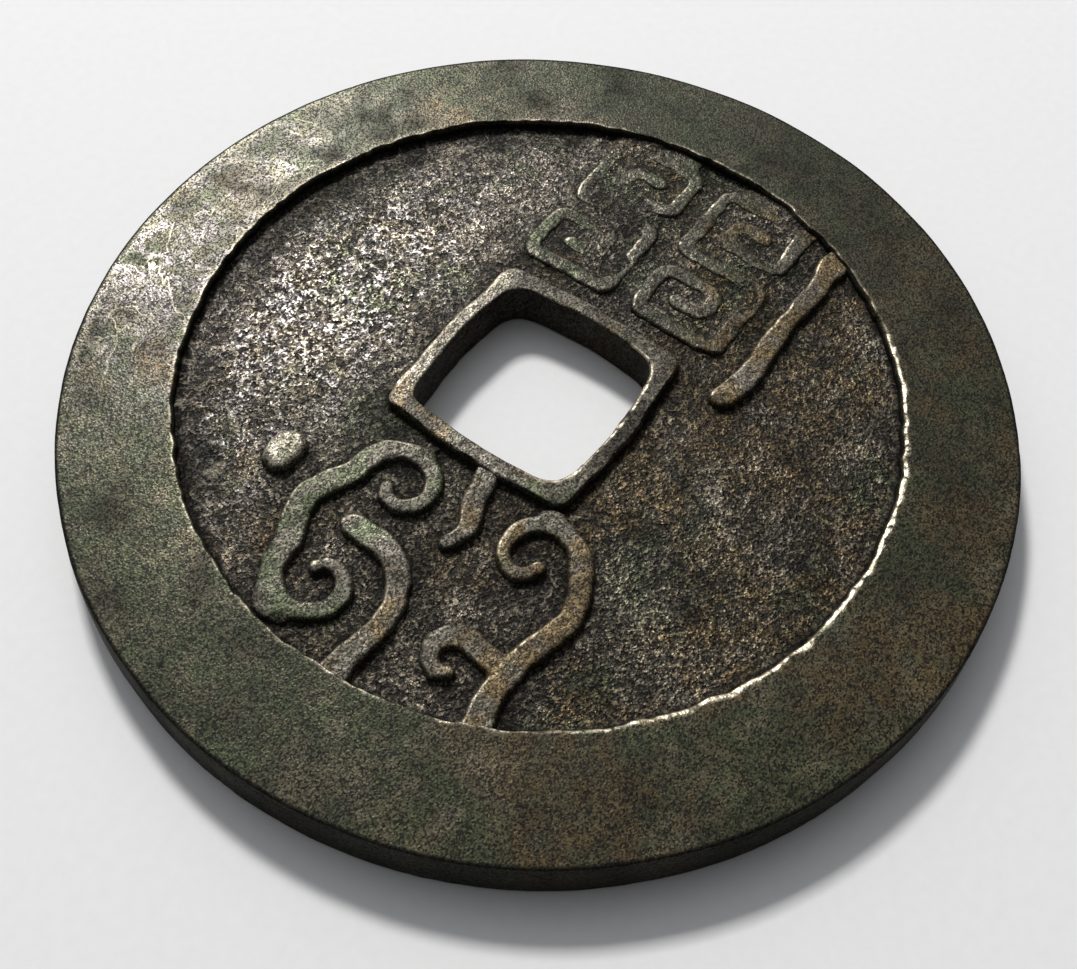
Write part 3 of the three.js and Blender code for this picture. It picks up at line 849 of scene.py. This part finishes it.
def patina(tree, place, spread, tones, stain, patch_size):
    """Mottled tones under green and brown stains, pale dust and painted sheen, each where its measure says.
    """
    colour = colour_ramp(tree, texture_noise(tree, place, patch_size, 8.0, 0.5), tones)
    green = times(tree, measure(tree, "verdigris"), remapped(tree, spread, 0.35, 0.55))
    colour = mixed(tree, times(tree, green, STAIN_STRENGTH), colour, lightened(VERDIGRIS, stain))
    brown = times(tree, measure(tree, "rust"), remapped(tree, spread, 0.68, 0.45))
    colour = mixed(tree, times(tree, brown, STAIN_STRENGTH), colour, lightened(BROWN, stain))
    clouds = remapped(tree, texture_noise(tree, place, 1.1, 6.0, 1.0), 0.42, 0.62)
    return mixed(tree, times(tree, clouds, measure(tree, "dust_and_sheen")), colour, DUST_AND_SHEEN)


def bare_metal(tree, place, spread):
    """How bare the metal is: on worn edges, partly a painted highlight where these lie only on sides facing
    the light, and along thin wandering veins in the dust and painted sheen.
    """
    breaks = remapped(tree, texture_noise(tree, place, 0.3, 5.0), 0.35, 0.55)
    edges = times(tree, measure(tree, "bare"), breaks)
    veins = remapped(tree, from_middle(tree, texture_noise(tree, place, 3.2, 3.0, 0.6)), 0.013, 0.004)
    veins = times(tree, veins, remapped(tree, spread, 0.38, 0.5))
    veins = times(tree, veins, measure(tree, "dust_and_sheen"))
    return combined(tree, "MAXIMUM", edges, times(tree, veins, VEIN_STRENGTH))


def bronze(name, tones, stain, patch_size, grain_size, speckle, relief):
    """Patinated bronze. tones are the stops of its mottling, stain the lightness of its green and
    brown stains, speckle the contrast of its fine grain and relief the height of its roughness
    in millimetres."""
    material, tree, shader, place = new_material(name)
    coarse, pale = measure(tree, "coarse"), measure(tree, "pale")
    spread = texture_noise(tree, place, 1.3, 6.0)

    # A fine salt and pepper everywhere, with larger grains and crust where the sand was coarse.
    grains = texture_noise(tree, place, 0.4, 2.5, 0.0, 0.85)
    crust = remapped(tree, from_middle(tree, texture_noise(tree, place, 0.42, 1.5)), 0.10, 0.0)
    grain = remapped(tree, crystals(tree, place, grain_size), 0.2, 0.8, 1 - speckle, 1 + speckle)
    for unevenness in (
        remapped(tree, grains, 0.42, 0.60, -0.85, 0.95),
        remapped(tree, crust, 0.0, 0.9, -0.75, 1.1),
    ):
        grain = times(tree, grain, plus(tree, times(tree, coarse, unevenness), 1.0))

    colour = patina(tree, place, spread, tones, stain, patch_size)
    # Paleness brings painted shade, highlights and sheen into the colour.
    colour = scaled(tree, colour, times(tree, grain, pale))
    bare = bare_metal(tree, place, spread)
    tree.links.new(mixed(tree, bare, colour, BARE_METAL), shader.inputs["Base Color"])
    metallic = remapped(tree, bare, 0.0, 1.0, PATINA_METALLIC, BARE_METALLIC)
    tree.links.new(metallic, shader.inputs["Metallic"])
    shader.inputs["Specular IOR Level"].default_value = SPECULAR_LEVEL
    shader.inputs["Specular Tint"].default_value = opaque(SPECULAR_TINT)

    # Hollows and gaps between grains are matt, and bare metal is smoother.
    rough = remapped(tree, texture_noise(tree, place, 1.8, 6.0), 0.3, 0.7, *PATINA_ROUGHNESS)
    rough = plus(tree, rough, remapped(tree, pale, 0.1, 0.9, 0.4, 0.0))
    rough = plus(tree, rough, remapped(tree, grain, 0.2, 1.0, 0.12, 0.0))
    tree.links.new(mixed_level(tree, bare, rough, BARE_ROUGHNESS), shader.inputs["Roughness"])

    lumps = plus(tree, grains, times(tree, crust, 0.3))
    swell = times(tree, times(tree, lumps, coarse), 4.0)
    heights = plus(tree, texture_noise(tree, place, 0.12, 1.0), swell)
    bump = add_node(tree, "ShaderNodeBump", {"Height": heights, "Distance": relief * MM})
    tree.links.new(bump.outputs["Normal"], shader.inputs["Normal"])
    return material


RIM_TONES = (
    (0.34, (0.029, 0.028, 0.016)), (0.46, (0.040, 0.038, 0.023)), (0.56, (0.050, 0.046, 0.029)),
    (0.68, (0.072, 0.065, 0.046)),
)
FIELD_TONES = (
    (0.34, (0.032, 0.027, 0.020)), (0.47, (0.052, 0.044, 0.032)), (0.58, (0.068, 0.058, 0.043)),
    (0.70, (0.090, 0.080, 0.064)),
)
WORN_TONES = (
    (0.35, (0.085, 0.077, 0.058)), (0.50, (0.120, 0.108, 0.085)), (0.65, (0.165, 0.148, 0.122)),
)
FRET_TONES = (
    (0.35, (0.040, 0.037, 0.026)), (0.50, (0.060, 0.055, 0.040)), (0.65, (0.085, 0.078, 0.060)),
)

rim_finish = bronze(
    "rim_bronze_finish", RIM_TONES, stain=1.0, patch_size=4.5, grain_size=0.085, speckle=0.85, relief=0.02
)
field_finish = bronze(
    "field_bronze_finish", FIELD_TONES, stain=1.0, patch_size=3.0, grain_size=0.11, speckle=0.95, relief=0.035
)
worn_finish = bronze(
    "worn_bronze_finish", WORN_TONES, stain=2.6, patch_size=1.4, grain_size=0.085, speckle=0.75, relief=0.02
)
fret_finish = bronze(
    "fret_bronze_finish", FRET_TONES, stain=1.5, patch_size=1.4, grain_size=0.1, speckle=0.8, relief=0.025
)


# The coin. Each stroke has forty seeds of its own.

SEEDS_A_STROKE = 40
outer_rim(rim_finish)
hole_rim(worn_finish)
cloud_shares = []
for number, node in enumerate(CLOUD_NODES):
    look = star_look if node == "star" else cloud_look
    cloud_shares.append(stroke(node, 100 + SEEDS_A_STROKE * number, look, worn_finish))
fret_shares = []
for number, node in enumerate(FRET_NODES):
    fret_shares.append(stroke(node, 400 + SEEDS_A_STROKE * number, fret_look, fret_finish))
fret_pad = smoothstep(0.15, 0.7, blurred(np.maximum.reduce(fret_shares), 0.9))
field(np.maximum.reduce(cloud_shares + fret_shares), fret_pad, field_finish)


# The paper that the coin lies on.

def paper_floor():
    half, below = PAPER_HALF * MM, -PAPER_DROP * MM
    mesh = bpy.data.meshes.new("paper")
    corners = [(-half, -half, below), (half, -half, below), (half, half, below), (-half, half, below)]
    mesh.from_pydata(corners, [], [(0, 1, 2, 3)])
    floor = bpy.data.objects.new("paper", mesh)
    bpy.context.scene.collection.objects.link(floor)
    material, tree, shader, place = new_material("paper_white")
    fibres = texture_noise(tree, place, 0.6, 6.0)
    tree.links.new(mixed(tree, fibres, *PAPER_TONES), shader.inputs["Base Color"])
    shader.inputs["Roughness"].default_value = 0.9
    mesh.materials.append(material)


# Camera and light.

def to_coin_axes(point):
    """A vector in the camera's ground frame, Y pointing away from it, in the coin's axes."""
    turn = math.radians(COIN_TURN)
    x, y, z = point
    return np.array([
        x * math.cos(turn) + y * math.sin(turn), -x * math.sin(turn) + y * math.cos(turn), z,
    ])


def aimed(name, data, place, right, up, back):
    made = bpy.data.objects.new(name, data)
    bpy.context.scene.collection.objects.link(made)
    matrix = Matrix.Identity(4)
    for column, vector in enumerate((right, up, back, place * MM)):
        for row in range(3):
            matrix[row][column] = vector[row]
    made.matrix_world = matrix
    return made


def make_camera():
    elevation, roll = math.radians(CAMERA_ELEVATION), math.radians(CAMERA_ROLL)
    back = np.array([0, -math.cos(elevation), math.sin(elevation)])
    level_right = np.array([1.0, 0.0, 0.0])
    level_up = np.cross(back, level_right)
    right = level_right * math.cos(roll) + level_up * math.sin(roll)
    up = -level_right * math.sin(roll) + level_up * math.cos(roll)
    place = np.array(LOOK_AT) + back * CAMERA_DISTANCE
    data = bpy.data.cameras.new("camera")
    data.sensor_fit = "HORIZONTAL"
    data.sensor_width = SENSOR_WIDTH
    data.lens = SENSOR_WIDTH * FOCAL_SHARE
    data.shift_x = -AXIS_SHIFT_X / PHOTO_WIDTH
    data.shift_y = AXIS_SHIFT_Y / PHOTO_WIDTH
    data.clip_start = 1 * MM
    camera = aimed("camera", data, *[to_coin_axes(v) for v in (place, right, up, back)])
    bpy.context.scene.camera = camera


def to_window():
    """The direction from the coin to the window, in the coin's axes."""
    side, elevation = math.radians(WINDOW_SIDE), math.radians(WINDOW_ELEVATION)
    level = np.array([-math.sin(side), math.cos(side), 0])
    return to_coin_axes(level * math.cos(elevation) + np.array([0, 0, math.sin(elevation)]))


def make_window():
    back = to_window()
    right = np.cross(np.array([0, 0, 1.0]), back)
    right /= np.linalg.norm(right)
    up = np.cross(back, right)
    data = bpy.data.lights.new("window", "AREA")
    data.shape = "RECTANGLE"
    data.size, data.size_y = WINDOW_WIDTH * MM, WINDOW_HEIGHT * MM
    data.energy = WINDOW_WATTS
    data.color = WINDOW_COLOUR
    aimed("window", data, back * WINDOW_DISTANCE, right, up, back)


def make_room():
    world = bpy.data.worlds.new("room")
    world.use_nodes = True
    tree = world.node_tree
    background = next(n for n in tree.nodes if n.type == "BACKGROUND")
    ray = add_node(tree, "ShaderNodeTexCoord").outputs["Generated"]
    towards = add_node(tree, "ShaderNodeVectorMath", {0: ray, 1: to_window()}, operation="DOT_PRODUCT")
    near = remapped(tree, towards.outputs["Value"], math.cos(GLOW_REACH), 1.0)
    glow = times(tree, combined(tree, "POWER", near, GLOW_FALLOFF), GLOW_LEVEL)
    tree.links.new(plus(tree, glow, ROOM_LEVEL), background.inputs["Strength"])
    background.inputs["Color"].default_value = opaque(ROOM_COLOUR)
    bpy.context.scene.world = world


paper_floor()
make_camera()
make_window()
make_room()
bpy.context.scene.view_settings.view_transform = "Standard"
